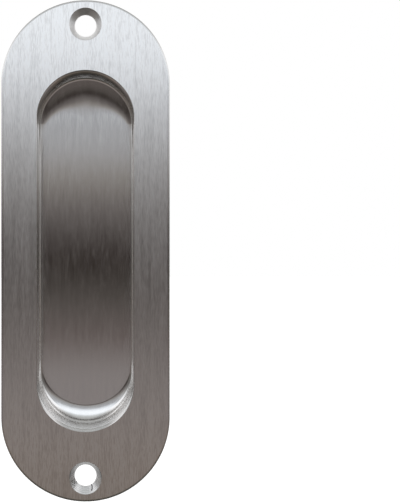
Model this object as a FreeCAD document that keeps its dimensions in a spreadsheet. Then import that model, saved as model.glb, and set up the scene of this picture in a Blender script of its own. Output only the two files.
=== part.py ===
# Pocket door pull: a face plate with round ends, and the drawn cup behind its opening.
# Millimetres. +Z is up the door, -Y faces the hand, and y = 0 is the door's surface,
# where the plate's back bears. The origin is midway between the two screw holes.

import FreeCAD
import Part
import Sketcher
import enum
import math
import os

DRIVING_SIZES = [
    ("plate_length", 120.0, "face plate, end to end"),
    ("plate_width", 40.4, "face plate, side to side; its ends are half circles"),
    ("plate_thickness", 1.5, "face plate sheet"),
    ("plate_edge_round", 0.3, "rounding of the plate's outer front edge"),
    ("end_margin", 16.9, "plate's end to the opening's end"),
    ("side_margin", 8.55, "plate's side to the opening's side"),
    ("opening_edge_break", 0.12, "chamfer on the opening's front edge"),
    ("screw_inset", 5.8, "plate's end to the centre of a screw hole"),
    ("screw_hole_diameter", 5.2, "clear hole for a countersunk wood screw"),
    ("countersink_diameter", 7.8, "countersink at the plate's front face"),
    ("countersink_angle", 90.0, "full angle of the countersink, in degrees"),
    ("recess_depth", 7.5, "plate's front face to the floor of the recess"),
    ("cup_sheet", 0.8, "cup sheet"),
    ("cup_setback", 0.15, "how far the cup's wall stands back from the opening's edge"),
    ("floor_radius", 4.2, "inside radius between the cup's wall and floor"),
    ("bend_radius", 0.5, "inside radius of the bend from wall to flange, on the back"),
    ("wall_straight", 0.3, "least straight wall between the two bends"),
    ("flange_flat", 3.2, "flat of the cup's flange, past the bend"),
    ("weld_diameter", 2.2, "spot weld mark on the back of the flange"),
    ("weld_depth", 0.1, "depth of a spot weld mark"),
    ("weld_run_in", 6.0, "end of the straight side to the outer weld on it"),
]

# Sizes that follow from the sheet and that several features share.
OPENING_LENGTH = "(sizes.plate_length - 2 * sizes.end_margin)"
OPENING_WIDTH = "(sizes.plate_width - 2 * sizes.side_margin)"
SCREW_REACH = "(sizes.plate_length / 2 - sizes.screw_inset)"
CUP_LENGTH = f"({OPENING_LENGTH} + 2 * sizes.cup_setback)"
CUP_WIDTH = f"({OPENING_WIDTH} + 2 * sizes.cup_setback)"
CUP_OUTER_LENGTH = f"({CUP_LENGTH} + 2 * sizes.cup_sheet)"
CUP_OUTER_WIDTH = f"({CUP_WIDTH} + 2 * sizes.cup_sheet)"
MOUTH_RADIUS = "(sizes.bend_radius + sizes.cup_sheet)"
FLANGE_LENGTH = f"({CUP_LENGTH} + 2 * ({MOUTH_RADIUS} + sizes.flange_flat))"
FLANGE_WIDTH = f"({CUP_WIDTH} + 2 * ({MOUTH_RADIUS} + sizes.flange_flat))"
FLOOR_FRONT = "(sizes.recess_depth - sizes.plate_thickness)"
FLOOR_BACK = f"({FLOOR_FRONT} + sizes.cup_sheet)"
WALL_ROOM = f"({FLOOR_FRONT} - {MOUTH_RADIUS} - sizes.wall_straight)"
FLOOR_RADIUS = f"min(sizes.floor_radius; {WALL_ROOM})"
WELD_ACROSS = f"({CUP_WIDTH} / 2 + {MOUTH_RADIUS} + sizes.flange_flat / 2)"
WELD_ALONG = f"(({CUP_LENGTH} - {CUP_WIDTH}) / 2 - sizes.weld_run_in)"
WELD_AT_END = f"({CUP_LENGTH} / 2 + {MOUTH_RADIUS} + sizes.flange_flat / 2)"

# How near a point has to lie to a line to count as on it.
TOUCH = 1e-4


# How a sketch numbers the points of a curve.
class On(enum.IntEnum):
    START = 1
    END = 2
    CENTRE = 3


# How a sketch numbers its own axes; the origin is the first point of the axis across.
class Axis(enum.IntEnum):
    ACROSS = -1
    UPRIGHT = -2


ORIGIN_POINT = (Axis.ACROSS, On.START)

doc = FreeCAD.newDocument("pocket_door_pull")
sheet = doc.addObject("Spreadsheet::Sheet", "sizes")
for row, (alias, number, meaning) in enumerate(DRIVING_SIZES, start=1):
    sheet.set(f"A{row}", meaning)
    sheet.set(f"B{row}", str(number))
    sheet.setAlias(f"B{row}", alias)
doc.recompute()


# The number that an expression on the sheet comes to.
def size(expression):
    found = sheet.evalExpression(expression.replace("sizes.", ""))
    return float(getattr(found, "Value", found))


def new_body(label):
    body = doc.addObject("PartDesign::Body", label)
    body.Label = label
    return body


# A sketch parallel to the door, its x to +X and its y to +Z, that stands the height in front of y = 0.
def new_sketch(body, name, height="0"):
    sketch = body.newObject("Sketcher::SketchObject", name)
    plane = next(f for f in body.Origin.OriginFeatures if f.Role == "XZ_Plane")
    sketch.AttachmentSupport = [(plane, "")]
    sketch.MapMode = "FlatFace"
    sketch.setExpression("AttachmentOffset.Base.z", height)
    return sketch


# A dimension of a sketch that follows the sheet.
def drive(sketch, name, expression, *constraint):
    index = sketch.addConstraint(Sketcher.Constraint(*constraint, size(expression)))
    sketch.renameConstraint(index, name)
    sketch.setExpression(f"Constraints.{name}", expression)


# A long outline with half-circle ends, upright and centred on the origin.
def long_outline(body, name, length, width, height="0"):
    sketch = new_sketch(body, name, height)
    radius = size(width) / 2
    reach = size(length) / 2 - radius
    point = FreeCAD.Vector
    normal = point(0, 0, 1)
    top_circle = Part.Circle(point(0, reach, 0), normal, radius)
    bottom_circle = Part.Circle(point(0, -reach, 0), normal, radius)
    ring = [
        sketch.addGeometry(Part.ArcOfCircle(top_circle, 0, math.pi)),
        sketch.addGeometry(Part.LineSegment(point(-radius, reach, 0), point(-radius, -reach, 0))),
        sketch.addGeometry(Part.ArcOfCircle(bottom_circle, math.pi, 2 * math.pi)),
        sketch.addGeometry(Part.LineSegment(point(radius, -reach, 0), point(radius, reach, 0))),
    ]
    for this, following in zip(ring, ring[1:] + ring[:1]):
        sketch.addConstraint(Sketcher.Constraint("Tangent", this, On.END, following, On.START))
    top, bottom = ring[0], ring[2]
    sketch.addConstraint(Sketcher.Constraint("Equal", top, bottom))
    ends = (top, On.CENTRE, bottom, On.CENTRE)
    sketch.addConstraint(Sketcher.Constraint("Symmetric", *ends, *ORIGIN_POINT))
    sketch.addConstraint(Sketcher.Constraint("PointOnObject", top, On.CENTRE, Axis.UPRIGHT))
    drive(sketch, "end_radius", f"{width} / 2", "Radius", top)
    drive(sketch, "straight", f"{length} - {width}", "DistanceY", bottom, On.CENTRE, top, On.CENTRE)
    return sketch


# Round spots of one diameter, each at an across and an along expression from the origin.
def spots(body, name, diameter, places, height):
    sketch = new_sketch(body, name, height)
    radius = size(diameter) / 2
    for number, (across, along) in enumerate(places, start=1):
        middle = FreeCAD.Vector(size(across), size(along), 0)
        circle = sketch.addGeometry(Part.Circle(middle, FreeCAD.Vector(0, 0, 1), radius))
        drive(sketch, f"diameter_{number}", diameter, "Diameter", circle)
        if across == "0":
            sketch.addConstraint(Sketcher.Constraint("PointOnObject", circle, On.CENTRE, Axis.UPRIGHT))
        else:
            drive(sketch, f"across_{number}", across, "DistanceX", *ORIGIN_POINT, circle, On.CENTRE)
        if along == "0":
            sketch.addConstraint(Sketcher.Constraint("PointOnObject", circle, On.CENTRE, Axis.ACROSS))
        else:
            drive(sketch, f"along_{number}", along, "DistanceY", *ORIGIN_POINT, circle, On.CENTRE)
    return sketch


def pad(body, sketch, name, length, to_back=False):
    feature = body.newObject("PartDesign::Pad", name)
    feature.Profile = sketch
    feature.setExpression("Length", length)
    feature.Reversed = to_back
    doc.recompute()
    return feature


# A pocket goes to the back unless it is told otherwise, and has to take something away.
def pocket(body, sketch, name, depth, to_front=False):
    volume_before = body.Shape.Volume
    feature = body.newObject("PartDesign::Pocket", name)
    feature.Profile = sketch
    feature.setExpression("Length", depth)
    feature.Reversed = to_front
    doc.recompute()
    if body.Shape.Volume >= volume_before:
        raise RuntimeError(f"{name} cuts nothing")
    return feature


# The edges of a feature that follow a long outline at one y.
def edges_along(feature, length, width, y):
    radius = size(width) / 2
    reach = size(length) / 2 - radius
    level = size(y)
    names = []
    for number, edge in enumerate(feature.Shape.Edges, start=1):
        first, last = edge.ParameterRange
        points = [edge.valueAt(first + share * (last - first)) for share in (0, 0.5, 1)]
        strays = [abs(math.hypot(p.x, max(abs(p.z) - reach, 0)) - radius) for p in points]
        heights = [abs(p.y - level) for p in points]
        if max(strays + heights) < TOUCH:
            names.append(f"Edge{number}")
    return names


# Rounds or chamfers every edge of the last feature that follows a long outline.
def dress(body, kind, name, measure, expression, length, width, y):
    base = body.Tip
    feature = body.newObject(f"PartDesign::{kind}", name)
    feature.Base = (base, edges_along(base, length, width, y))
    feature.setExpression(measure, expression)
    doc.recompute()
    return feature


def make_face_plate():
    body = new_body("face_plate")
    front = "-sizes.plate_thickness"
    blank = long_outline(body, "plate_outline", "sizes.plate_length", "sizes.plate_width")
    pad(body, blank, "plate_blank", "sizes.plate_thickness")
    mouth = long_outline(body, "opening_outline", OPENING_LENGTH, OPENING_WIDTH, "sizes.plate_thickness")
    pocket(body, mouth, "opening", "sizes.plate_thickness")
    dress(body, "Fillet", "outer_edge", "Radius", "sizes.plate_edge_round",
          "sizes.plate_length", "sizes.plate_width", front)
    dress(body, "Chamfer", "opening_edge", "Size", "sizes.opening_edge_break",
          OPENING_LENGTH, OPENING_WIDTH, front)
    places = [("0", SCREW_REACH), ("0", f"-{SCREW_REACH}")]
    centres = spots(body, "screw_centres", "sizes.screw_hole_diameter", places, "sizes.plate_thickness")
    doc.recompute()
    holes = body.newObject("PartDesign::Hole", "screw_holes")
    holes.Profile = centres
    doc.recompute()
    holes.ThreadType = "None"
    holes.DepthType = "ThroughAll"
    holes.HoleCutType = "Countersink"
    holes.HoleCutCustomValues = True
    holes.setExpression("Diameter", "sizes.screw_hole_diameter")
    holes.setExpression("HoleCutDiameter", "sizes.countersink_diameter")
    holes.setExpression("HoleCutCountersinkAngle", "sizes.countersink_angle")
    doc.recompute()
    return body


def make_recess_cup():
    body = new_body("recess_cup")
    outer = (CUP_OUTER_LENGTH, CUP_OUTER_WIDTH)
    inner = (CUP_LENGTH, CUP_WIDTH)
    flange = long_outline(body, "flange_outline", FLANGE_LENGTH, FLANGE_WIDTH)
    pad(body, flange, "flange", "sizes.cup_sheet", to_back=True)
    tub = long_outline(body, "tub_outline", *outer)
    pad(body, tub, "tub", FLOOR_BACK, to_back=True)
    hollow = long_outline(body, "hollow_outline", *inner)
    pocket(body, hollow, "hollow", FLOOR_FRONT)
    dress(body, "Fillet", "floor_inside", "Radius", FLOOR_RADIUS, *inner, FLOOR_FRONT)
    floor_outside = f"{FLOOR_RADIUS} + sizes.cup_sheet"
    dress(body, "Fillet", "floor_outside", "Radius", floor_outside, *outer, FLOOR_BACK)
    dress(body, "Fillet", "bend_inside", "Radius", "sizes.bend_radius", *outer, "sizes.cup_sheet")
    dress(body, "Fillet", "mouth", "Radius", MOUTH_RADIUS, *inner, "0")
    along_steps = (f"-{WELD_ALONG}", "0", WELD_ALONG)
    places = [(across, along) for across in (f"-{WELD_ACROSS}", WELD_ACROSS) for along in along_steps]
    places += [("0", f"-{WELD_AT_END}"), ("0", WELD_AT_END)]
    welds = spots(body, "weld_centres", "sizes.weld_diameter", places, "-sizes.cup_sheet")
    pocket(body, welds, "weld_marks", "sizes.weld_depth", to_front=True)
    return body


bodies = [make_face_plate(), make_recess_cup()]

# Nothing is written unless every feature came out and each piece is one sound solid.
for item in doc.Objects:
    if "Invalid" in item.State or "Error" in item.State:
        raise RuntimeError(f"{item.Label} failed: {item.State}")
for body in bodies:
    shape = body.Shape
    if shape.isNull() or not shape.isValid() or len(shape.Solids) != 1:
        raise RuntimeError(f"{body.Label} is not one valid solid")

os.makedirs("parts", exist_ok=True)
for body in bodies:
    body.Shape.exportStep(f"parts/{body.Label}.step")
    print(f"{body.Label}: {body.Shape.Volume:.1f} mm3")
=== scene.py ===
import bmesh
import bpy
import math
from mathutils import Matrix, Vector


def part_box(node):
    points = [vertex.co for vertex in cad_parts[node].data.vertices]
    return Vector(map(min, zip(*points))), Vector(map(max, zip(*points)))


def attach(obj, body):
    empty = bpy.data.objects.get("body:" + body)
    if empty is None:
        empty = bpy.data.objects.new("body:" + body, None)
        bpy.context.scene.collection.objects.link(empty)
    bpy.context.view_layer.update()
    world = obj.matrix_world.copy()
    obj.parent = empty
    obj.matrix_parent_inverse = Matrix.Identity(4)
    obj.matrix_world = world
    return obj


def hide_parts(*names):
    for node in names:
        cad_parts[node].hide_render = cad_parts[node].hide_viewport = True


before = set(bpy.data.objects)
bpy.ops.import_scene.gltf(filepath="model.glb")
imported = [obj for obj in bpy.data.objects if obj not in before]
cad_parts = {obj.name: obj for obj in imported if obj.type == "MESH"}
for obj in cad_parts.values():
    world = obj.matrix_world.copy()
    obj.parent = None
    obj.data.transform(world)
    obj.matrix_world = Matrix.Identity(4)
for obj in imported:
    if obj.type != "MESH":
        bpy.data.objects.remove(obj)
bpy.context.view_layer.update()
mm = 0.001
print("frame loaded:", sorted(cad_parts))


# small helpers

nodeGrid = {"columns": 10, "width": 220, "height": 320}   # how the nodes of a tree are laid out
mixSockets = {"VECTOR": (4, 5, 1), "RGBA": (6, 7, 2)}     # a Mix node's inputs and output, by kind


def linkObject(obj):
    bpy.context.scene.collection.objects.link(obj)
    return obj


def meshObject(name, bm):
    mesh = bpy.data.meshes.new(name)
    bm.to_mesh(mesh)
    bm.free()
    return linkObject(bpy.data.objects.new(name, mesh))


def plainMesh(obj):
    # turns the evaluated object into a plain mesh and drops its modifiers
    depsgraph = bpy.context.evaluated_depsgraph_get()
    mesh = bpy.data.meshes.new_from_object(obj.evaluated_get(depsgraph), depsgraph=depsgraph)
    obj.modifiers.clear()
    obj.data = mesh
    mesh.name = obj.name


def metres(lengths):
    return [length * mm for length in lengths]


def feed(tree, target, source):
    # a socket takes either another socket or a plain value
    if isinstance(source, bpy.types.NodeSocket):
        tree.links.new(source, target)
    else:
        target.default_value = source


def addNode(tree, kind, inputs=None, **settings):
    # inputs go by the socket's name or number, and the settings come first
    row, column = divmod(len(tree.nodes), nodeGrid["columns"])
    node = tree.nodes.new(kind)
    node.location = (column * nodeGrid["width"], -row * nodeGrid["height"])
    for name, value in settings.items():
        setattr(node, name, value)
    for name, source in (inputs or {}).items():
        feed(tree, node.inputs[name], source)
    return node


def calc(tree, operation, *values):
    inputs = dict(enumerate(values))
    return addNode(tree, "ShaderNodeMath", inputs, operation=operation).outputs[0]


def split(tree, vector):
    return addNode(tree, "ShaderNodeSeparateXYZ", {0: vector}).outputs


def flatDistance(tree, x, z):
    squares = calc(tree, "ADD", calc(tree, "MULTIPLY", x, x), calc(tree, "MULTIPLY", z, z))
    return calc(tree, "SQRT", squares)


def ramp(tree, value, fromRange, toRange, **settings):
    # carries a value from one range to another, and no further than its ends
    ends = dict(zip(("From Min", "From Max", "To Min", "To Max"), (*fromRange, *toRange)))
    node = addNode(tree, "ShaderNodeMapRange", {"Value": value, **ends}, **settings)
    return node.outputs["Result"]


def mix(tree, kind, share, first, second):
    one, two, out = mixSockets[kind]
    inputs = {0: share, one: first, two: second}
    return addNode(tree, "ShaderNodeMix", inputs, data_type=kind).outputs[out]


def colourStops(tree, value, stops):
    node = addNode(tree, "ShaderNodeValToRGB", {"Fac": value})
    elements = node.color_ramp.elements
    while len(elements) < len(stops):
        elements.new(0.5)
    for element, (position, colour) in zip(elements, stops):
        element.position = position
        element.color = (*colour, 1)
    return node.outputs["Color"]


# camera: the photograph's viewpoint

photo = {
    "width": 400,            # pixels
    "height": 503,
    "pixelsPerMm": 4.19,     # on the plate's front face
    "pullX": 85.44,          # where the pull's middle lands
    "pullY": 251.0,
    "distance": 120.0,       # mm from the plate's front face
    "eyeHeight": 8.5,        # mm above the pull's middle
    "eyeAside": 3.5,         # mm to its right
    "sensor": 36.0,          # mm, along the picture's longer side
    "clipStart": 5.0,        # mm
}


def makeCamera():
    s = photo
    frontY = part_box("face_plate")[0].y
    data = bpy.data.cameras.new("photoCamera")
    camera = linkObject(bpy.data.objects.new("photoCamera", data))
    camera.location = (s["eyeAside"] * mm, frontY - s["distance"] * mm, s["eyeHeight"] * mm)
    camera.rotation_euler = (math.pi / 2, 0, 0)
    data.sensor_width = s["sensor"]
    data.lens = s["sensor"] * s["distance"] * s["pixelsPerMm"] / s["height"]
    axisX = s["pullX"] + s["eyeAside"] * s["pixelsPerMm"]
    axisY = s["pullY"] - s["eyeHeight"] * s["pixelsPerMm"]
    data.shift_x = (s["width"] / 2 - axisX) / s["height"]
    data.shift_y = (axisY - s["height"] / 2) / s["height"]
    data.clip_start = s["clipStart"] * mm
    bpy.context.scene.camera = camera


makeCamera()
print("camera set")


# steel finishes

streak = {
    "deep": 4,               # times as deep as it is wide
    "fineDetail": 3.0,
    "broadDetail": 2.0,
    "roughness": 0.6,
    "spread": (0.3, 0.7),    # where most of the noise lies
}

plateFinish = {
    "colour": (0.92, 0.91, 0.9),
    "rough": (0.28, 0.38),
    "shade": (0.82, 1.17),
    "fine": (0.21, 2.0),       # width and length of a streak, mm
    "broad": (0.8, 14.0),
    "fineShare": 0.65,
    "endGain": 2.7,            # the streaks stand out more towards the ends
    "endFrom": (34, 50),       # mm from the middle, from where to where they come to that
    "scratch": 0.003,          # depth, mm
    "sideways": 0.4,           # anisotropy of a highlight, 0 to 1
}

cupFinish = {
    "colour": (0.92, 0.91, 0.9),
    "rough": (0.1, 0.2),
    "shade": (0.92, 1.06),
    "fine": (0.24, 2.4),
    "broad": (1.0, 7.0),
    "fineShare": 0.6,
    "scratch": 0.001,
    "wallRough": 0.26,         # the lower half's wall is duller than the floor
    "wallDepth": (4.2, 2.6),   # mm behind the plate's back, from where to where it becomes so
    "wallHeight": (-20, 10),   # mm from the middle, where it is so in full and where not at all
    "paintedTopShade": 0.34,          # painted shade: the upper end's wall is darker, to this share
    "paintedShadeDepth": (4.4, 3.6),    # mm behind the plate's back, as for the lower half
    "paintedShadeHeight": (30, 37),     # mm from the middle, from where to where it becomes so
}

backFinish = {
    "colour": (0.56, 0.555, 0.55),
    "rough": (0.36, 0.5),
    "shade": (0.84, 1.12),
    "fine": (0.5, 3.0),
    "broad": (4.0, 16.0),
    "fineShare": 0.5,
    "scratch": 0.004,
}

edgeFinish = {
    "colour": (0.78, 0.77, 0.76),
    "rough": (0.14, 0.22),
    "shade": (0.88, 1.05),
    "fine": (0.12, 0.12),
    "broad": (0.8, 0.8),
    "fineShare": 0.7,
    "scratch": 0.002,
}

boreFinish = {
    "colour": (0.95, 0.945, 0.935),
    "rough": (0.32, 0.44),
    "shade": (0.9, 1.06),
    "fine": (0.2, 0.2),
    "broad": (0.9, 0.9),
    "fineShare": 0.6,
    "scratch": 0.001,
    "rings": 0.26,             # mm from one turning mark to the next
    "ringShade": (0.74, 1.04),
    "paintedTopShade": (0.5, 0.95),   # painted shade: what the upper half of the lower and of the upper one keeps
    "paintedShadeFrom": (-0.6, 0.9),    # mm above its axis, from where to where it becomes so
    "nickTop": -55.9,          # a dark curved nick in the lower one, mm from the plate's middle
    "nickLength": 1.5,
    "nickAcross": (1.0, 0.6),  # where it begins and how far it swings out
    "nickTurn": 2.4,           # radians of a sine along its length
    "nickWidth": (0.09, 0.2),  # dark inside the first, gone at the second
    "nickDark": 0.85,
    "pits": (-3.1, -55.6),     # the middle of some small dark pits
    "pitReach": (0.6, 1.5),    # mm from there, all of them inside the first, none past the second
    "pitScale": 3600.0,
    "pitGrain": (0.52, 0.6),   # noise that begins a pit and noise that fills it
    "pitDark": 0.8,
}

# spot welds between the plate and the cup's flange: they dent the flange and colour both backs
weld = {
    "across": 14.7,            # mm from the middle line to those along the sides
    "along": 25.45,            # mm up and down from the middle one of each side
    "end": 46.15,              # mm from the middle to those at the ends
    "radius": 1.1,
    "depth": 0.1,
    "slope": 0.2,              # the dent's foot is narrower by this
    "sides": 28,
    "farthest": 1000.0,        # mm, more than any distance here
    "heatReach": 3.0,
    "heat": [                  # share of the reach and what the heat leaves of each colour
        (0, (0.72, 0.7, 0.68)),
        (0.34, (0.56, 0.53, 0.52)),
        (0.42, (0.5, 0.4, 0.34)),
        (0.55, (0.72, 0.58, 0.4)),
        (0.78, (0.93, 0.86, 0.72)),
        (1, (1, 1, 1)),
    ],
}


def streaks(tree, coords, across, along, detail):
    # noise drawn out along Z, like the marks of a belt; across and along are in mm
    sizes = metres((across, streak["deep"] * across, along))
    scale = [1 / size for size in sizes]
    drawn = addNode(tree, "ShaderNodeMapping", {"Vector": coords, "Scale": scale})
    noise = addNode(tree, "ShaderNodeTexNoise", {
        "Vector": drawn.outputs["Vector"],
        "Scale": 1.0,
        "Detail": detail,
        "Roughness": streak["roughness"],
    })
    return noise.outputs["Fac"]


def tint(tree, colour, shade):
    # a steel colour made lighter or darker by a shade around 1
    inputs = {0: colour, "Scale": shade}
    return addNode(tree, "ShaderNodeVectorMath", inputs, operation="SCALE").outputs["Vector"]


def rest(tree, share):
    return calc(tree, "SUBTRACT", 1.0, share)


def gainAtEnds(tree, noise, place, s):
    middle = sum(streak["spread"]) / 2
    gain = ramp(tree, calc(tree, "ABSOLUTE", place["Z"]), metres(s["endFrom"]), (1.0, s["endGain"]))
    swing = calc(tree, "MULTIPLY", calc(tree, "SUBTRACT", noise, middle), gain)
    return calc(tree, "ADD", swing, middle)


def wallRoughAndPaintedShade(tree, shade, rough, place, s):
    # the lower half's wall is rougher, and the upper end's wall is darkened with painted shade
    onWall = ramp(tree, place["Y"], metres(s["wallDepth"]), (0.0, s["wallRough"]))
    below = ramp(tree, place["Z"], metres(s["wallHeight"]), (1.0, 0.0))
    rough = calc(tree, "ADD", rough, calc(tree, "MULTIPLY", onWall, below))
    paintedShadeOnWall = ramp(tree, place["Y"], metres(s["paintedShadeDepth"]), (0.0, 1.0))
    above = ramp(tree, place["Z"], metres(s["paintedShadeHeight"]), (0.0, 1.0 - s["paintedTopShade"]))
    paintedShade = rest(tree, calc(tree, "MULTIPLY", paintedShadeOnWall, above))
    return calc(tree, "MULTIPLY", shade, paintedShade), rough


def makeSteel(name, s):
    # stainless sheet: fine scratches over broad bands, in its shade, its gloss and its surface
    material = bpy.data.materials.new(name)
    material.use_nodes = True
    tree = material.node_tree
    shader = tree.nodes["Principled BSDF"]
    coords = addNode(tree, "ShaderNodeTexCoord").outputs["Object"]
    place = split(tree, coords)
    fine = streaks(tree, coords, *s["fine"], streak["fineDetail"])
    broad = streaks(tree, coords, *s["broad"], streak["broadDetail"])
    bands = calc(tree, "MULTIPLY", broad, 1 - s["fineShare"])
    noise = calc(tree, "MULTIPLY_ADD", fine, s["fineShare"], bands)
    if "endGain" in s:
        noise = gainAtEnds(tree, noise, place, s)
    shade = ramp(tree, noise, streak["spread"], s["shade"])
    rough = ramp(tree, noise, streak["spread"], s["rough"])
    if "wallRough" in s:
        shade, rough = wallRoughAndPaintedShade(tree, shade, rough, place, s)
    bump = addNode(tree, "ShaderNodeBump", {"Distance": s["scratch"] * mm, "Height": fine})
    shader.inputs["Metallic"].default_value = 1.0
    feed(tree, shader.inputs["Base Color"], tint(tree, s["colour"], shade))
    feed(tree, shader.inputs["Roughness"], rough)
    feed(tree, shader.inputs["Normal"], bump.outputs["Normal"])
    return material, tree, shader, coords


def makePlateSteel():
    # the belt's scratches run up the plate, so a highlight spreads sideways
    material, tree, shader, _ = makeSteel("brushedPlateSteel", plateFinish)
    brush = addNode(tree, "ShaderNodeTangent", direction_type="UV_MAP", uv_map="brush")
    shader.inputs["Anisotropic"].default_value = plateFinish["sideways"]
    feed(tree, shader.inputs["Tangent"], brush.outputs["Tangent"])
    return material


def makeBackSteel():
    # mill finish, coloured by heat round each spot weld
    material, tree, shader, coords = makeSteel("millBackSteel", backFinish)
    folded = addNode(tree, "ShaderNodeVectorMath", {0: coords}, operation="ABSOLUTE")
    place = split(tree, folded.outputs["Vector"])
    nearest = weld["farthest"] * mm
    for across, along in ((weld["across"], 0), (weld["across"], weld["along"]), (0, weld["end"])):
        x = calc(tree, "SUBTRACT", place["X"], across * mm)
        z = calc(tree, "SUBTRACT", place["Z"], along * mm)
        nearest = calc(tree, "MINIMUM", flatDistance(tree, x, z), nearest)
    share = calc(tree, "DIVIDE", nearest, weld["heatReach"] * mm)
    inputs = {
        0: shader.inputs["Base Color"].links[0].from_socket,
        1: colourStops(tree, share, weld["heat"]),
    }
    heated = addNode(tree, "ShaderNodeVectorMath", inputs, operation="MULTIPLY")
    feed(tree, shader.inputs["Base Color"], heated.outputs["Vector"])
    return material


def makeBoreSteel(screwReach):
    # two turned countersinks, the lower one with a nick and some pits, both with painted shade on
    # their upper half
    s = boreFinish
    material, tree, shader, coords = makeSteel("turnedBoreSteel", s)
    place = split(tree, coords)
    x, z = (calc(tree, "DIVIDE", place[axis], mm) for axis in "XZ")
    fromAxis = calc(tree, "SUBTRACT", calc(tree, "ABSOLUTE", z), screwReach)
    radius = flatDistance(tree, x, fromAxis)
    wave = calc(tree, "SINE", calc(tree, "MULTIPLY", radius, 2 * math.pi / s["rings"]))
    shade = ramp(tree, wave, (-1.0, 1.0), s["ringShade"])

    # painted shade: the upper half of each countersink is darkened, the lower one's more
    above = calc(tree, "MULTIPLY", fromAxis, calc(tree, "SIGN", z))
    paintedShadeMask = ramp(tree, above, s["paintedShadeFrom"], (0.0, 1.0))
    kept = ramp(tree, z, (-1.0, 1.0), s["paintedTopShade"])
    paintedShade = calc(tree, "MULTIPLY", paintedShadeMask, rest(tree, kept))
    shade = calc(tree, "MULTIPLY", shade, rest(tree, paintedShade))

    start, swingOut = s["nickAcross"]
    down = calc(tree, "DIVIDE", calc(tree, "SUBTRACT", s["nickTop"], z), s["nickLength"])
    swing = calc(tree, "SINE", calc(tree, "MULTIPLY", down, s["nickTurn"]))
    line = calc(tree, "ADD", calc(tree, "MULTIPLY", swing, swingOut), start)
    off = calc(tree, "ABSOLUTE", calc(tree, "SUBTRACT", x, line))
    fromMiddle = calc(tree, "ABSOLUTE", calc(tree, "SUBTRACT", down, 0.5))
    within = calc(tree, "LESS_THAN", fromMiddle, 0.5)
    nick = calc(tree, "MULTIPLY", ramp(tree, off, s["nickWidth"], (s["nickDark"], 0.0)), within)

    aside, along = (calc(tree, "SUBTRACT", *pair) for pair in zip((x, z), s["pits"]))
    near = ramp(tree, flatDistance(tree, aside, along), s["pitReach"], (1.0, 0.0))
    inputs = {"Vector": coords, "Scale": s["pitScale"], "Detail": 1.0}
    grain = addNode(tree, "ShaderNodeTexNoise", inputs).outputs["Fac"]
    pits = calc(tree, "MULTIPLY", ramp(tree, grain, s["pitGrain"], (0.0, s["pitDark"])), near)

    shade = calc(tree, "MULTIPLY", shade, rest(tree, calc(tree, "MAXIMUM", nick, pits)))
    steel = shader.inputs["Base Color"].links[0].from_socket
    feed(tree, shader.inputs["Base Color"], tint(tree, steel, shade))
    return material


plateSteel = makePlateSteel()
cupSteel = makeSteel("satinCupSteel", cupFinish)[0]
backSteel = makeBackSteel()
edgeSteel = makeSteel("cutEdgeSteel", edgeFinish)[0]
print("finishes made")


# face plate: flat sheet with round ends, its opening and two countersunk holes

plate = {
    "edgeRound": 0.3,         # how deep the outer edge rolls over, mm
    "edgeReach": 0.6,         # and how far in from the edge
    "edgeSteps": 6,
    "openingHalfLength": 43.1,
    "openingHalfWidth": 11.65,
    "openingBreak": 0.12,     # of the lip's edge, across and deep
    "screwReach": 54.2,       # middle of the plate to a screw's axis
    "holeRadius": 2.6,
    "sinkRadius": 3.9,
    "sinkDepth": 1.3,
    "sinkRings": 5,           # turning marks left by the countersink
    "ringHeight": 0.03,
    "steps": 192,             # points round the plate and the opening
    "holeSteps": 72,
}

boreSteel = makeBoreSteel(plate["screwReach"])


def longRing(straight, radius, steps):
    # points of a long outline with half-circle ends, straight being the half length of its sides
    points = []
    for step in range(steps):
        angle = 2 * math.pi * (step + 0.5) / steps
        side = math.copysign(straight, math.sin(angle))
        points.append((radius * math.cos(angle), radius * math.sin(angle) + side))
    return points


def roundRing(centreZ, radius, steps):
    turns = [2 * math.pi * step / steps for step in range(steps)]
    return [(radius * math.cos(turn), centreZ + radius * math.sin(turn)) for turn in turns]


def buildRings(bm, outlines, heights):
    # one closed ring of vertices for each outline, at its height
    rings = []
    for outline, y in zip(outlines, heights):
        rings.append([bm.verts.new((x, y, z)) for x, z in outline])
    return rings


def skinRings(bm, rings, materialIndex):
    for upper, lower in zip(rings, rings[1:]):
        count = len(upper)
        for i in range(count):
            j = (i + 1) % count
            face = bm.faces.new((upper[i], upper[j], lower[j], lower[i]))
            face.material_index = materialIndex
            face.smooth = True


def ringEdges(bm, ring):
    edges = []
    for first, second in zip(ring, ring[1:] + ring[:1]):
        edges.append(bm.edges.get((first, second)) or bm.edges.new((first, second)))
    return edges


def fillBetween(bm, rings, materialIndex):
    edges = [edge for ring in rings for edge in ringEdges(bm, ring)]
    made = bmesh.ops.triangle_fill(bm, edges=edges, use_beauty=True, use_dissolve=False)
    for item in made["geom"]:
        if isinstance(item, bmesh.types.BMFace):
            item.material_index = materialIndex
            item.smooth = True


def sinkSteps(front, back):
    # radius and height of each ring down a countersink
    # every other one stands proud, at 45 degrees
    s = plate
    marks = 2 * s["sinkRings"]
    radii, levels = [], []
    for k in range(marks + 1):
        share = k / marks
        proud = s["ringHeight"] * (k % 2) * math.sqrt(0.5)
        radius = s["sinkRadius"] + share * (s["holeRadius"] - s["sinkRadius"])
        radii.append((radius - proud) * mm)
        levels.append(front + (share * s["sinkDepth"] - proud * (0 < k < marks)) * mm)
    return radii + [s["holeRadius"] * mm], levels + [back]


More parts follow.
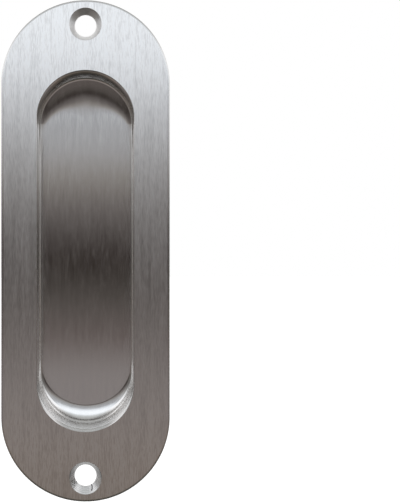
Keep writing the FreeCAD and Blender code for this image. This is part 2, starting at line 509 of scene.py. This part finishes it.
def makeFacePlate():
    s = plate
    low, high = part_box("face_plate")
    front, back = low.y, high.y
    halfLength, halfWidth = high.z, high.x
    frontIndex, edgeIndex, boreIndex, backIndex = range(4)
    bm = bmesh.new()
    straight = halfLength - halfWidth
    turns = [k / s["edgeSteps"] * math.pi / 2 for k in range(s["edgeSteps"] + 1)]
    edge = s["edgeRound"] * mm
    offsets = [-s["edgeReach"] * mm * (1 - math.sin(turn)) for turn in turns] + [0.0]
    depths = [front + edge * (1 - math.cos(turn)) for turn in turns] + [back]
    outlines = [longRing(straight, halfWidth + offset, s["steps"]) for offset in offsets]
    outer = buildRings(bm, outlines, depths)
    skinRings(bm, outer, edgeIndex)

    openRadius = s["openingHalfWidth"] * mm
    openStraight = (s["openingHalfLength"] - s["openingHalfWidth"]) * mm
    lip = s["openingBreak"] * mm
    lipOutlines = [longRing(openStraight, openRadius + d, s["steps"]) for d in (lip, 0.0, 0.0)]
    inner = buildRings(bm, lipOutlines, [front, front + lip, back])
    skinRings(bm, inner, edgeIndex)

    fronts, backs = [outer[0], inner[0]], [outer[-1], inner[-1]]
    sharp = [outer[0], outer[-2], outer[-1], *inner]
    radii, levels = sinkSteps(front, back)
    for end in (1, -1):
        centreZ = end * s["screwReach"] * mm
        sink = buildRings(bm, [roundRing(centreZ, r, s["holeSteps"]) for r in radii], levels)
        skinRings(bm, sink, boreIndex)
        fronts.append(sink[0])
        backs.append(sink[-1])
        sharp += [sink[0], sink[-2], sink[-1]]
    fillBetween(bm, fronts, frontIndex)
    fillBetween(bm, backs, backIndex)
    for ring in sharp:
        for edgeItem in ringEdges(bm, ring):
            edgeItem.smooth = False
    bmesh.ops.recalc_face_normals(bm, faces=bm.faces[:])
    brush = bm.loops.layers.uv.new("brush")
    for face in bm.faces:
        for loop in face.loops:
            loop[brush].uv = (loop.vert.co.x / halfLength, loop.vert.co.z / halfLength)
    piece = meshObject("facePlate", bm)
    for material in (plateSteel, edgeSteel, boreSteel, backSteel):
        piece.data.materials.append(material)
    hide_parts("face_plate")
    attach(piece, "root")
    return piece


facePlate = makeFacePlate()
print("face plate:", len(facePlate.data.polygons), "faces")


# recess cup: a drawn hat section carried round the opening's long outline

cup = {
    "halfLength": 43.25,      # inside the wall, mm
    "halfWidth": 11.8,
    "sheet": 0.8,
    "upper": {                # its section at the upper end
        "floorRadius": 1.2,   # of the bend from floor to wall
        "flatEnd": 1.0,       # mm from the middle line to where the flat floor ends
        "lean": 0,            # of the wall, degrees
        "slopes": [           # share of the way to the bend and the floor's slope there, degrees
            (0, 0), (0.15, 0.7), (0.31, 2.4), (0.41, 4.8), (0.52, 7.3),
            (0.64, 9.5), (0.72, 12.9), (0.79, 14.2), (0.88, 16), (1, 17),
        ],
    },
    "lower": {
        "floorRadius": 2.8,
        "flatEnd": 8.05,
        "lean": 5,
        "slopes": [(0, 0), (0.09, 17), (1, 29)],
    },
    "side": {
        "floorRadius": 0.35,
        "flatEnd": 11.35,
        "lean": 1.2,
        "slopes": [(0, 0), (0.3, 6), (1, 13)],
    },
    "runOut": {"Upper": 9.0, "Lower": 5.0},     # mm of the straight sides where an end's section fades
    "start": {"Upper": 0.12, "Lower": 0.12},    # its share where the straight sides begin
    "mouthRadius": 0.6,       # of the bend from wall to flange, in front
    "flatPoints": 7,          # across half of the flat floor
    # shares of the way to the bend where the sloping floor has points
    "slopeShares": [0, 0.03, 0.06, 0.09, 0.2, 0.3, 0.4, 0.5, 0.6, 0.7, 0.8, 0.9, 1],
    "settleRounds": 6,
    "bendRadius": 0.5,        # of the same bend, behind
    "flangeFlat": 3.2,
    "rimRadius": 0.08,
    "support": 0.02,          # keeps flats flat where a bend begins
    "bendSteps": 18,
    "arcSteps": 96,
    "sideSteps": 36,
    "mergeReach": 0.002,
    "backwardFrom": 0.05,     # how far a face has to look backwards to count as the back
    "outwardFrom": 0.02,      # or outwards, in mm of its distance from the middle line
    "sharpAngle": 20,
}

cupSockets = {
    "NodeSocketObject": ("Side Profile", "Lower Profile", "Upper Profile", "Weld Spots"),
    "NodeSocketFloat": ("Half Straight", "Lower Run Out", "Lower Start", "Upper Run Out",
                        "Upper Start", "Weld Radius", "Weld Depth", "Weld Slope"),
    "NodeSocketInt": ("Arc Steps", "Side Steps", "Bend Steps", "Weld Sides"),
    "NodeSocketMaterial": ("Front Finish", "Back Finish"),
}


def slopeAt(slopes, share):
    for (first, low), (second, high) in zip(slopes, slopes[1:]):
        if share <= second:
            return math.radians(low + (high - low) * (share - first) / (second - first))


def makeCupProfile(name, floorRadius, flatEnd, lean, slopes):
    # half of the hat section, where X is the distance from the middle line and Y the depth
    # a point's radius is the radius of the bend at that corner
    s = cup
    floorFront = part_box("recess_cup")[1].y / mm - s["sheet"]
    wall, outside = s["halfWidth"], s["halfWidth"] + s["sheet"]
    mouth = s["bendRadius"] + s["sheet"]
    tip = wall + mouth + s["flangeFlat"]
    gap, tilt, slant = s["support"], slopeAt(slopes, 1), math.tan(math.radians(lean))
    top = mouth + gap
    shares = s["slopeShares"]
    pairs = zip(shares, shares[1:])
    steps = [(b - a) * math.tan(slopeAt(slopes, (a + b) / 2)) for a, b in pairs]
    bendReach = floorRadius * math.tan((math.pi / 2 - math.atan(slant) - tilt) / 2)
    frontCorner = floorFront
    for _ in range(s["settleRounds"]):   # the wall's foot and the floor's end settle together
        foot = wall - slant * (frontCorner - top)
        reach = foot - bendReach * math.cos(tilt) - gap
        rise = (reach - flatEnd) * sum(steps)
        frontCorner = floorFront - rise - math.tan(tilt) * (foot - reach)
    flats = [flatEnd * k / s["flatPoints"] for k in range(s["flatPoints"])]
    fronts = [(across, floorFront, 0) for across in flats]
    backs = [(across, floorFront + s["sheet"], 0) for across in flats]
    depth = floorFront
    for share, step in zip(shares, [0] + steps):
        across = flatEnd + (reach - flatEnd) * share
        depth -= (reach - flatEnd) * step
        fronts.append((across, depth, 0))
        back = depth + s["sheet"] / math.cos(slopeAt(slopes, share))
        backs.append((across, min(back, floorFront + s["sheet"]), 0))   # flat on past the crease
    backFoot = foot + s["sheet"]
    backCorner = backs[-1][1] - math.tan(tilt) * (backFoot - reach)
    bendTop = frontCorner - bendReach - 2 * gap
    corners = fronts + [
        (foot, frontCorner, floorRadius),
        (wall - slant * (bendTop - top), bendTop, 0),
        (wall, top, 0),
        (wall + slant * top, 0, s["mouthRadius"]),
        (wall + mouth + gap, 0, 0),
        (tip, 0, s["rimRadius"]),
        (tip, s["sheet"], s["rimRadius"]),
        (wall + mouth + gap, s["sheet"], 0),
        (outside + slant * (top - s["sheet"]), s["sheet"], s["bendRadius"]),
        (outside, top, 0),
        (outside - slant * (bendTop - top), bendTop, 0),
        (backFoot, backCorner, floorRadius + s["sheet"]),
    ] + backs[::-1]
    data = bpy.data.curves.new(name, "CURVE")
    data.dimensions = "3D"
    spline = data.splines.new("POLY")
    spline.points.add(len(corners) - 1)
    for point, (across, depth, radius) in zip(spline.points, corners):
        point.co = (across * mm, depth * mm, 0, 1)
        point.radius = radius * mm
    return linkObject(bpy.data.objects.new(name, data))


def makeWeldSpots():
    # one point for each spot weld, on the back of the flange
    across, along, end = weld["across"], weld["along"], weld["end"]
    places = [(side * across, z) for side in (-1, 1) for z in (-along, 0, along)]
    places += [(0, -end), (0, end)]
    mesh = bpy.data.meshes.new("weldSpots")
    mesh.from_pydata([metres((x, cup["sheet"], z)) for x, z in places], [], [])
    return linkObject(bpy.data.objects.new("weldSpots", mesh))


def addSection(tree, profile, bendSteps, rowShare):
    # rounds a profile's corners and reads it back point by point
    outline = addNode(tree, "GeometryNodeObjectInfo", {"Object": profile}).outputs["Geometry"]
    radius = addNode(tree, "GeometryNodeInputRadius").outputs[0]
    inputs = {"Curve": outline, "Radius": radius, "Count": bendSteps}
    bent = addNode(tree, "GeometryNodeFilletCurve", inputs, mode="POLY").outputs[0]
    wire = addNode(tree, "GeometryNodeCurveToMesh", {"Curve": bent}).outputs[0]
    counted = addNode(tree, "GeometryNodeAttributeDomainSize", {0: wire}, component="MESH")
    pointCount = counted.outputs["Point Count"]
    scaled = calc(tree, "MULTIPLY", rowShare, calc(tree, "SUBTRACT", pointCount, 1))
    sample = addNode(tree, "GeometryNodeSampleIndex", {
        "Geometry": wire,
        "Value": addNode(tree, "GeometryNodeInputPosition").outputs[0],
        "Index": calc(tree, "ROUND", scaled),
    }, data_type="FLOAT_VECTOR", domain="POINT")
    return sample.outputs[0], pointCount


def endShare(tree, given, end, along, sine):
    # how much of an end's section is in force: it grows along the sides and then round the arc
    straight, start = given["Half Straight"], given[end + " Start"]
    fadeFrom = calc(tree, "SUBTRACT", straight, given[end + " Run Out"])
    onSide = ramp(tree, along, (fadeFrom, straight), (0.0, start), interpolation_type="SMOOTHSTEP")
    onArc = ramp(tree, sine, (0.0, 1.0), (0.0, rest(tree, start)))
    return calc(tree, "ADD", onSide, onArc)


def sweepSection(tree, given):
    # a grid 1 by 1 about its middle, with one column for each step round the cup
    # and one row for each point of the section
    place = split(tree, addNode(tree, "GeometryNodeInputPosition").outputs[0])
    columnShare, rowShare = (calc(tree, "ADD", place[axis], 0.5) for axis in "XY")
    (side, pointCount), (lowerEnd, _), (upperEnd, _) = (
        addSection(tree, given[part + " Profile"], given["Bend Steps"], rowShare)
        for part in ("Side", "Lower", "Upper"))
    halfSteps = calc(tree, "ADD", given["Arc Steps"], given["Side Steps"])
    allSteps = calc(tree, "MULTIPLY", halfSteps, 2)
    grid = addNode(tree, "GeometryNodeMeshGrid", {
        "Size X": 1.0,
        "Size Y": 1.0,
        "Vertices X": calc(tree, "ADD", allSteps, 1),
        "Vertices Y": pointCount,
    })

    # half a round is one arc and then one straight side
    step = calc(tree, "ROUND", calc(tree, "MULTIPLY", columnShare, allSteps))
    half = calc(tree, "FLOOR", calc(tree, "DIVIDE", step, halfSteps))
    within = calc(tree, "MODULO", step, halfSteps)
    arcShare = calc(tree, "MINIMUM", calc(tree, "DIVIDE", within, given["Arc Steps"]), 1.0)
    turn = calc(tree, "MULTIPLY", calc(tree, "ADD", arcShare, half), math.pi)
    sine, cosine = calc(tree, "SINE", turn), calc(tree, "COSINE", turn)
    past = calc(tree, "MAXIMUM", calc(tree, "SUBTRACT", within, given["Arc Steps"]), 0.0)
    slide = calc(tree, "DIVIDE", past, given["Side Steps"])
    upward = calc(tree, "COSINE", calc(tree, "MULTIPLY", half, math.pi))
    sideShare = calc(tree, "MULTIPLY", upward, rest(tree, calc(tree, "MULTIPLY", slide, 2.0)))
    middle = calc(tree, "MULTIPLY", sideShare, given["Half Straight"])

    # the section is the sides' and turns into that of each end
    downward = [calc(tree, "MULTIPLY", value, -1.0) for value in (middle, sine)]
    section = mix(tree, "VECTOR", endShare(tree, given, "Lower", *downward), side, lowerEnd)
    section = mix(tree, "VECTOR", endShare(tree, given, "Upper", middle, sine), section, upperEnd)
    shape = split(tree, section)
    spot = addNode(tree, "ShaderNodeCombineXYZ", {
        "X": calc(tree, "MULTIPLY", cosine, shape["X"]),
        "Y": shape["Y"],
        "Z": calc(tree, "ADD", calc(tree, "MULTIPLY", sine, shape["X"]), middle),
    }).outputs[0]
    inputs = {"Geometry": grid.outputs["Mesh"], "Position": spot}
    moved = addNode(tree, "GeometryNodeSetPosition", inputs).outputs[0]
    inputs = {"Geometry": moved, "Distance": cup["mergeReach"] * mm}
    return addNode(tree, "GeometryNodeMergeByDistance", inputs).outputs[0]


def dentWelds(tree, given, swept):
    # each spot weld leaves a shallow dish on the flange's back
    radius, slope, depth = (given["Weld " + name] for name in ("Radius", "Slope", "Depth"))
    spots = addNode(tree, "GeometryNodeObjectInfo", {"Object": given["Weld Spots"]})
    dish = addNode(tree, "GeometryNodeMeshCone", {
        "Vertices": given["Weld Sides"],
        "Radius Top": calc(tree, "ADD", radius, slope),
        "Radius Bottom": calc(tree, "SUBTRACT", radius, slope),
        "Depth": calc(tree, "MULTIPLY", depth, 2.0),
    })
    drop = addNode(tree, "ShaderNodeCombineXYZ", {"Y": calc(tree, "MULTIPLY", depth, -1.0)})
    sunk = addNode(tree, "GeometryNodeTransform", {
        "Geometry": dish.outputs["Mesh"],
        "Translation": drop.outputs[0],
        "Rotation": (-math.pi / 2, 0, 0),
    })
    inputs = {"Points": spots.outputs["Geometry"], "Instance": sunk.outputs[0]}
    marks = addNode(tree, "GeometryNodeInstanceOnPoints", inputs).outputs[0]
    cutters = addNode(tree, "GeometryNodeRealizeInstances", {0: marks}).outputs[0]
    dented = addNode(tree, "GeometryNodeMeshBoolean", {"Mesh 1": swept, "Mesh 2": cutters},
                     operation="DIFFERENCE", solver="EXACT")
    return dented.outputs["Mesh"]


def findBack(tree, given):
    # a face is on the back where it looks backwards or away from the middle line
    facing = split(tree, addNode(tree, "GeometryNodeInputNormal").outputs[0])
    where = split(tree, addNode(tree, "GeometryNodeInputPosition").outputs[0])
    straight = given["Half Straight"]
    inputs = {"Value": where["Z"], "Min": calc(tree, "MULTIPLY", straight, -1.0), "Max": straight}
    centre = addNode(tree, "ShaderNodeClamp", inputs).outputs[0]
    outX = calc(tree, "MULTIPLY", facing["X"], where["X"])
    outZ = calc(tree, "MULTIPLY", facing["Z"], calc(tree, "SUBTRACT", where["Z"], centre))
    out = calc(tree, "ADD", outX, outZ)
    outward = calc(tree, "GREATER_THAN", out, cup["outwardFrom"] * mm)
    backward = calc(tree, "GREATER_THAN", facing["Y"], cup["backwardFrom"])
    return calc(tree, "MAXIMUM", outward, backward)


def makeCupTree():
    tree = bpy.data.node_groups.new("longHatSection", "GeometryNodeTree")
    for kind, names in cupSockets.items():
        for name in names:
            tree.interface.new_socket(name, in_out="INPUT", socket_type=kind)
    tree.interface.new_socket("Geometry", in_out="OUTPUT", socket_type="NodeSocketGeometry")
    given = addNode(tree, "NodeGroupInput").outputs
    dented = dentWelds(tree, given, sweepSection(tree, given))
    realized = addNode(tree, "GeometryNodeRealizeInstances", {0: dented}).outputs[0]
    inputs = {"Geometry": realized, "Material": given["Front Finish"]}
    front = addNode(tree, "GeometryNodeSetMaterial", inputs).outputs[0]
    back = addNode(tree, "GeometryNodeSetMaterial", {
        "Geometry": front,
        "Selection": findBack(tree, given),
        "Material": given["Back Finish"],
    }).outputs[0]
    addNode(tree, "NodeGroupOutput", {"Geometry": back})
    return tree


def setInputs(modifier, values):
    # a modifier's inputs go by the socket's identifier
    for item in modifier.node_group.interface.items_tree:
        if item.item_type == "SOCKET" and item.in_out == "INPUT":
            modifier[item.identifier] = values[item.name]


def makeRecessCup():
    s = cup
    guides = {
        "Side Profile": makeCupProfile("sideProfile", **s["side"]),
        "Lower Profile": makeCupProfile("lowerProfile", **s["lower"]),
        "Upper Profile": makeCupProfile("upperProfile", **s["upper"]),
        "Weld Spots": makeWeldSpots(),
    }
    piece = linkObject(bpy.data.objects.new("recessCup", bpy.data.meshes.new("recessCup")))
    modifier = piece.modifiers.new("longHatSection", "NODES")
    modifier.node_group = makeCupTree()
    setInputs(modifier, {
        **guides,
        "Half Straight": (s["halfLength"] - s["halfWidth"]) * mm,
        **{end + " Run Out": length * mm for end, length in s["runOut"].items()},
        **{end + " Start": share for end, share in s["start"].items()},
        "Arc Steps": s["arcSteps"],
        "Side Steps": s["sideSteps"],
        "Bend Steps": s["bendSteps"],
        "Weld Sides": weld["sides"],
        "Weld Radius": weld["radius"] * mm,
        "Weld Depth": weld["depth"] * mm,
        "Weld Slope": weld["slope"] * mm,
        "Front Finish": cupSteel,
        "Back Finish": backSteel,
    })
    plainMesh(piece)
    for guide in guides.values():
        bpy.data.objects.remove(guide)
    for index in reversed(range(len(piece.data.materials))):
        if piece.data.materials[index] is None:   # the dents' cutters carry no finish
            piece.data.materials.pop(index=index)
    piece.data.polygons.foreach_set("use_smooth", [True] * len(piece.data.polygons))
    piece.data.set_sharp_from_angle(angle=math.radians(s["sharpAngle"]))
    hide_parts("recess_cup")
    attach(piece, "root")
    return piece


recessCup = makeRecessCup()
finishNames = [material.name for material in recessCup.data.materials]
print("recess cup:", len(recessCup.data.polygons), "faces", finishNames)


# studio: white surroundings, a pale floor and a tent in front that gives the steel its reflections

studio = {
    "floorDrop": 0.5,          # metres below the pull's middle
    "floorSize": 8.0,
    "floorColour": (0.9, 0.9, 0.9, 1),
    "floorRough": 0.9,
    "floorLift": 0.35,         # light of its own that the camera and the steel see
    "tentRadius": 0.45,
    "tentRim": 0.0001,         # metres behind the origin up to which the half sphere is kept
    "tentSegments": 48,
    "tentStrength": 1.2,
    "tentShades": [            # height in degrees and light
        (-90, (0.05, 0.05, 0.05)),
        (-60, (0.05, 0.05, 0.045)),
        (-42, (0.15, 0.13, 0.11)),
        (-32, (0.28, 0.23, 0.2)),
        (-26, (0.23, 0.21, 0.21)),
        (-21, (0.25, 0.23, 0.225)),
        (-17, (0.13, 0.104, 0.098)),
        (-13, (0.1, 0.088, 0.082)),
        (-9, (0.05, 0.044, 0.039)),
        (-5, (0.02, 0.014, 0.012)),
        (3, (0.145, 0.13, 0.125)),
        (7, (0.26, 0.24, 0.22)),
        (11, (0.37, 0.375, 0.39)),
        (17.5, (0.35, 0.36, 0.38)),
        (20, (0.85, 0.9, 0.97)),
        (26, (1.1, 1.15, 1.2)),
        (34, (0.97, 1.02, 1.08)),
        (46, (0.62, 0.65, 0.66)),
        (90, (0.4, 0.4, 0.39)),
    ],
    "sideFrom": (27, 54),      # degrees to left or right, between which it turns into the sides' light
    "sideShades": [
        (-90, (0.03, 0.03, 0.028)),
        (-45, (0.08, 0.072, 0.064)),
        (-30, (0.15, 0.13, 0.115)),
        (-20, (0.18, 0.16, 0.145)),
        (-10, (0.19, 0.175, 0.16)),
        (0, (0.19, 0.185, 0.18)),
        (7, (0.4, 0.4, 0.4)),
        (14, (0.85, 0.86, 0.88)),
        (20, (1.0, 1.02, 1.05)),
        (36, (1.1, 1.1, 1.12)),
        (50, (0.45, 0.45, 0.45)),
        (90, (0.25, 0.25, 0.25)),
    ],
    "glossyBounces": 12,       # light goes round the recess many times
}


def makeFloor():
    s = studio
    bm = bmesh.new()
    bmesh.ops.create_grid(bm, x_segments=2, y_segments=2, size=s["floorSize"] / 2)
    floor = meshObject("paleFloor", bm)
    floor.location.z = -s["floorDrop"]
    material = bpy.data.materials.new("paleFloor")
    material.use_nodes = True
    tree = material.node_tree
    shader = tree.nodes["Principled BSDF"]
    shader.inputs["Base Color"].default_value = s["floorColour"]
    shader.inputs["Roughness"].default_value = s["floorRough"]
    shader.inputs["Emission Color"].default_value = (1, 1, 1, 1)
    seen = addNode(tree, "ShaderNodeLightPath").outputs
    mirrored = calc(tree, "MAXIMUM", seen["Is Camera Ray"], seen["Is Glossy Ray"])
    lift = calc(tree, "MULTIPLY", mirrored, s["floorLift"])
    feed(tree, shader.inputs["Emission Strength"], lift)
    floor.data.materials.append(material)


def tentLight(tree, level, shades):
    # the emission's strength makes up for the division, which keeps the stops at 1 or less
    stops = []
    for angle, colour in shades:
        position = (math.sin(math.radians(angle)) + 1) / 2
        stops.append((position, [part / studio["tentStrength"] for part in colour]))
    return colourStops(tree, level, stops)


def makeTent():
    s = studio
    bm = bmesh.new()
    segments = s["tentSegments"]
    bmesh.ops.create_uvsphere(bm, u_segments=segments, v_segments=segments, radius=s["tentRadius"])
    behind = [v for v in bm.verts if v.co.y > s["tentRim"]]
    bmesh.ops.delete(bm, geom=behind, context="VERTS")
    tent = meshObject("frontTent", bm)
    tent.visible_camera = False
    material = bpy.data.materials.new("frontTent")
    material.use_nodes = True
    tree = material.node_tree
    tree.nodes.clear()
    place = split(tree, addNode(tree, "ShaderNodeTexCoord").outputs["Object"])
    level = ramp(tree, place["Z"], (-s["tentRadius"], s["tentRadius"]), (0.0, 1.0))
    ahead = calc(tree, "MULTIPLY", place["Y"], -1.0)
    bearing = calc(tree, "ABSOLUTE", calc(tree, "ARCTAN2", place["X"], ahead))
    sideFrom = [math.radians(angle) for angle in s["sideFrom"]]
    aside = ramp(tree, bearing, sideFrom, (0.0, 1.0), interpolation_type="SMOOTHSTEP")
    lights = [tentLight(tree, level, s[name]) for name in ("tentShades", "sideShades")]
    inputs = {"Color": mix(tree, "RGBA", aside, *lights), "Strength": s["tentStrength"]}
    glow = addNode(tree, "ShaderNodeEmission", inputs).outputs[0]
    addNode(tree, "ShaderNodeOutputMaterial", {"Surface": glow})
    tent.data.materials.append(material)


def makeWorld():
    world = bpy.data.worlds.new("whiteSurroundings")
    bpy.context.scene.world = world
    world.use_nodes = True
    sky = world.node_tree.nodes["Background"]
    sky.inputs["Color"].default_value = (1, 1, 1, 1)
    sky.inputs["Strength"].default_value = 1.0


makeFloor()
makeTent()
makeWorld()
bpy.context.scene.view_settings.view_transform = "Standard"
bpy.context.scene.cycles.glossy_bounces = studio["glossyBounces"]
print("studio set")
